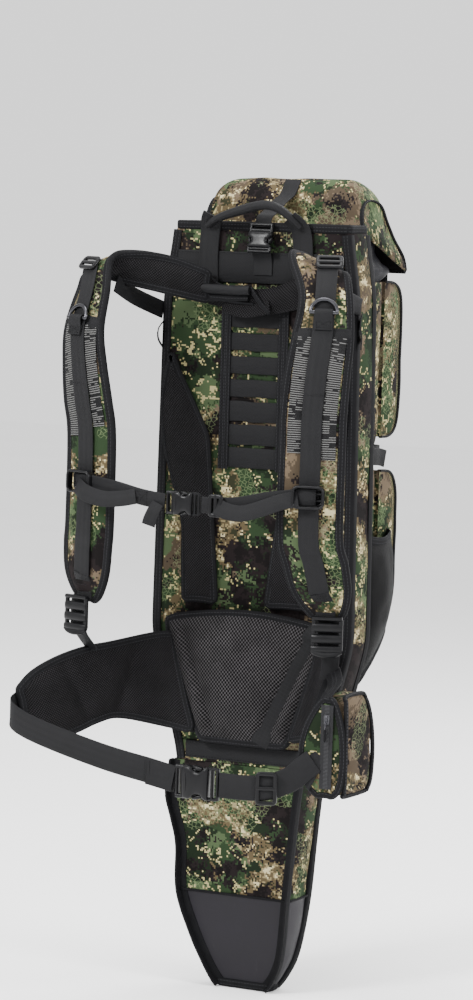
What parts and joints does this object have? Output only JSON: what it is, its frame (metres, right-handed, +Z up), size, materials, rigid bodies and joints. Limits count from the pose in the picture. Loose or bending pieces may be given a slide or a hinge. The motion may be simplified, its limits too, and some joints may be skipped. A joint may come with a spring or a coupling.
{
  "type": "hunting backpack",
  "caption": "Tall camouflage hunting backpack with a scabbard sleeve behind a padded harness, a fold-down boot, a hinged lid, zipped pockets and buckled straps.",
  "frame": {"origin": "on the boot's flat base, on the pack's centre plane and midway between the scabbard's two faces", "axes": "+Z up the pack towards the lid, -Y towards the wearer's back and the harness, +Y towards the bag, +X to the right of someone who faces the harness"},
  "size_m": [0.4592, 0.4498, 1.029],
  "materials": {
    "camo_fabric": "matte woven pack cloth printed with an abstract blotched pattern",
    "lining_fabric": "thin coated nylon, slight sheen",
    "spacer_mesh": "knitted spacer mesh over foam",
    "stretch_mesh": "open stretch mesh",
    "coated_fabric": "smooth coated cloth",
    "black_tape": "ribbed binding tape",
    "black_webbing": "ribbed nylon webbing",
    "black_plastic": "moulded acetal, satin",
    "zip_tape": "coil zip on woven tape",
    "zip_metal": "black painted die casting",
    "pull_cord": "braided cord",
    "frame_plastic": "stiff sheet",
    "stay_aluminium": "flat bar, mill finish"
  },
  "bodies": {
    "pack": {"back_pads": "spacer_mesh", "back_panel": "camo_fabric", "bag_side_panels": "camo_fabric", "bottom_bag_panel": "camo_fabric", "collar": "lining_fabric", "compression_strap": "black_webbing", "divider_panel": "lining_fabric", "frame_sheet": "frame_plastic", "frame_stays": "stay_aluminium", "front_bag_panel": "camo_fabric", "grab_handle": "black_webbing", "harness_ladder": "black_webbing", "hip_pocket": "camo_fabric", "hip_socket": "black_plastic", "left_hip_webbing": "black_webbing", "left_hip_wing": "spacer_mesh", "left_shoulder_pad": "camo_fabric", "lid_hinge_tape": "black_tape", "lid_socket": "black_plastic", "load_lifters": "black_webbing", "lower_front_pocket": "camo_fabric", "lower_webbings": "black_webbing", "lumbar_pad": "spacer_mesh", "mesh_side_pockets": "stretch_mesh", "panel_bindings": "black_tape", "panel_webbing_bands": "black_webbing", "right_hip_webbing": "black_webbing", "right_hip_wing": "spacer_mesh", "right_shoulder_pad": "camo_fabric", "ring_tabs": "black_webbing", "scabbard_gussets": "camo_fabric", "strap_webbings": "black_webbing", "triglides": "black_plastic", "upper_front_pocket": "camo_fabric", "yoke_pad": "spacer_mesh", "zip_tapes": "zip_tape"},
    "boot": {"boot_panels": "camo_fabric", "boot_gussets": "camo_fabric", "boot_toe": "coated_fabric", "boot_bindings": "black_tape"},
    "lid": {"lid_shell": "camo_fabric", "lid_strap": "black_webbing", "lid_plug": "black_plastic"},
    "sternum_strap": {"sternum_sliders": "black_plastic", "left_sternum_webbing": "black_webbing", "right_sternum_webbing": "black_webbing", "sternum_socket": "black_plastic", "sternum_adjuster": "black_plastic"},
    "sternum_plug": {"sternum_plug": "black_plastic"},
    "hip_plug": {"hip_plug": "black_plastic"},
    "left_d_ring": {"left_d_ring": "black_plastic"},
    "right_d_ring": {"right_d_ring": "black_plastic"},
    "left_ladder_lock": {"left_ladder_lock": "black_plastic"},
    "right_ladder_lock": {"right_ladder_lock": "black_plastic"},
    "upper_zip_slider": {"upper_zip_slider": "zip_metal"},
    "upper_zip_pull": {"upper_zip_pull": "pull_cord"},
    "lower_zip_slider": {"lower_zip_slider": "zip_metal"},
    "lower_zip_pull": {"lower_zip_pull": "pull_cord"},
    "hip_zip_slider": {"hip_zip_slider": "zip_metal"},
    "hip_zip_pull": {"hip_zip_pull": "pull_cord"}
  },
  "joints": [
    {"name": "boot_fold", "type": "hinge", "parent": "pack", "child": "boot", "pos_m": [0, 0.0285, 0.288], "axis": [1, 0, 0], "range_deg": [0, 125]},
    {"name": "lid_open", "type": "hinge", "parent": "pack", "child": "lid", "pos_m": [0, 0.16, 0.906], "axis": [-1, 0, 0], "range_deg": [0, 140]},
    {"name": "sternum_height", "type": "slide", "parent": "pack", "child": "sternum_strap", "axis": [0, 0, 1], "range_m": [-0.02, 0.02]},
    {"name": "sternum_release", "type": "slide", "parent": "sternum_strap", "child": "sternum_plug", "axis": [-1, 0, 0], "range_m": [0, 0.035], "deforming": ["left_sternum_webbing"]},
    {"name": "hip_release", "type": "slide", "parent": "pack", "child": "hip_plug", "axis": [-1, 0, 0], "range_m": [0, 0.045], "deforming": ["left_hip_webbing"]},
    {"name": "left_ring_swing", "type": "hinge", "parent": "pack", "child": "left_d_ring", "pos_m": [-0.1707, -0.1844, 0.848], "axis": [0.9272, -0.3746, 0], "range_deg": [0, 150]},
    {"name": "right_ring_swing", "type": "hinge", "parent": "pack", "child": "right_d_ring", "pos_m": [0.163, -0.181, 0.868], "axis": [0.9272, 0.3746, 0], "range_deg": [0, 150]},
    {"name": "left_lock_tilt", "type": "hinge", "parent": "pack", "child": "left_ladder_lock", "pos_m": [-0.172, -0.166, 0.502], "axis": [-0.9613, 0.2756, 0], "range_deg": [0, 40]},
    {"name": "right_lock_tilt", "type": "hinge", "parent": "pack", "child": "right_ladder_lock", "pos_m": [0.173, -0.166, 0.502], "axis": [-0.9613, -0.2756, 0], "range_deg": [0, 40]},
    {"name": "upper_zip", "type": "slide", "parent": "pack", "child": "upper_zip_slider", "axis": [-1, 0, 0], "range_m": [0, 0.18]},
    {"name": "upper_pull_swing", "type": "hinge", "parent": "upper_zip_slider", "child": "upper_zip_pull", "pos_m": [0.09, 0.1647, 0.855], "axis": [1, 0, 0], "range_deg": [0, 100]},
    {"name": "lower_zip", "type": "slide", "parent": "pack", "child": "lower_zip_slider", "axis": [-1, 0, 0], "range_m": [0, 0.18]},
    {"name": "lower_pull_swing", "type": "hinge", "parent": "lower_zip_slider", "child": "lower_zip_pull", "pos_m": [0.09, 0.1647, 0.621], "axis": [1, 0, 0], "range_deg": [0, 100]},
    {"name": "hip_zip", "type": "slide", "parent": "pack", "child": "hip_zip_slider", "axis": [0, 0, -1], "range_m": [0, 0.07]},
    {"name": "hip_pull_swing", "type": "hinge", "parent": "hip_zip_slider", "child": "hip_zip_pull", "pos_m": [0.211, -0.2439, 0.389], "axis": [-1, 0, 0], "range_deg": [0, 100]}
  ]
}
